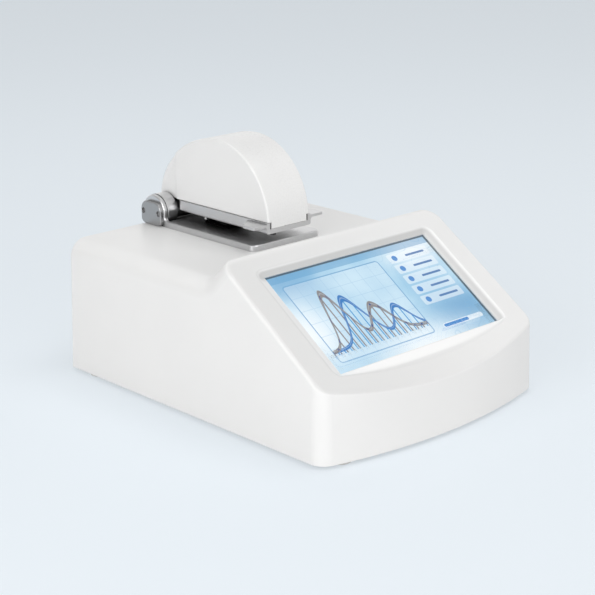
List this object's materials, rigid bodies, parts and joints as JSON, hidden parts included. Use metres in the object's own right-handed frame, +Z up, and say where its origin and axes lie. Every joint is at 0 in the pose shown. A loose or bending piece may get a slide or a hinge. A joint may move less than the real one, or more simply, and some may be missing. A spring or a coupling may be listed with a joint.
{
  "type": "microvolume spectrophotometer",
  "caption": "Bench spectrophotometer with a sloped touch screen, a sample stage behind it and a half-disc measuring arm that hinges up at the back.",
  "frame": {"origin": "on the table under the middle of the instrument's width and depth", "axes": "+Z up, the screen faces -Y and up, +X to the right for someone facing the screen"},
  "size_m": [0.212, 0.2824, 0.1718],
  "materials": {
    "housing": "fine moulded satin, warm white",
    "cover_white": "smooth satin white",
    "bottom_plastic": "moulded light grey",
    "foot_rubber": "light grey rubber",
    "bumper_rubber": "black rubber",
    "satin_metal": "bead blasted and clear anodised",
    "cap_metal": "satin, turned face",
    "black_metal": "black anodised",
    "sheet_metal": "zinc plated sheet",
    "steel": "plain steel",
    "bronze": "sintered bronze",
    "glass": "clear, polished",
    "display": "lit display",
    "circuit": "solder mask with dark components",
    "black_plastic": "moulded black",
    "lamp_glass": "quartz bulb in its shell"
  },
  "bodies": {
    "base": {"top_housing": "housing", "bottom_cover": "bottom_plastic", "rubber_feet": "foot_rubber", "housing_screws": "steel", "touch_glass": "glass", "display_panel": "display", "display_bracket": "sheet_metal", "display_screws": "steel", "main_board": "circuit", "heat_sink": "black_metal", "supply_board": "circuit", "io_board": "circuit", "board_screws": "steel", "data_ports": "steel", "power_inlet": "black_plastic", "switch_frame": "black_plastic", "optics_frame": "sheet_metal", "frame_screws": "steel", "spectrometer_box": "black_metal", "spectrometer_lid": "black_metal", "spectrometer_screws": "steel", "lower_fibre": "black_plastic", "lift_motor": "black_metal", "motor_bridge": "sheet_metal", "guide_bush": "bronze", "pedestal_block": "black_metal", "stage_plate": "satin_metal", "hinge_pins": "steel", "friction_washers": "bronze", "hinge_caps": "cap_metal"},
    "arm": {"arm_base": "satin_metal", "arm_cover": "cover_white", "cover_screws": "steel", "upper_block": "black_metal", "upper_pedestal": "steel", "lamp_block": "black_metal", "flash_lamp": "lamp_glass", "lamp_board": "circuit", "stop_screws": "black_metal", "locating_pins": "steel", "arm_bumpers": "bumper_rubber"},
    "lift": {"lift_carriage": "satin_metal", "lower_pedestal": "steel"},
    "screw": {"lead_screw": "steel"},
    "rocker": {"power_rocker": "black_plastic"}
  },
  "joints": [
    {"name": "arm_hinge", "type": "hinge", "parent": "base", "child": "arm", "pos_m": [0, 0.1286, 0.1105], "axis": [-1, 0, 0], "range_deg": [0, 85]},
    {"name": "path_screw", "type": "hinge", "parent": "base", "child": "screw", "pos_m": [0, 0.05, 0.072], "axis": [0, 0, 1], "range_deg": [-18, 360]},
    {"name": "pedestal_lift", "type": "slide", "parent": "base", "child": "lift", "axis": [0, 0, 1], "range_m": [0, 0.00095]},
    {"name": "power_rocker", "type": "hinge", "parent": "base", "child": "rocker", "pos_m": [-0.062, 0.13497, 0.0325], "axis": [1, 0, 0], "range_deg": [0, 16]}
  ],
  "couplings": [
    {"joint": "path_screw", "follows": "pedestal_lift", "rad_per_m": 6283.2}
  ]
}
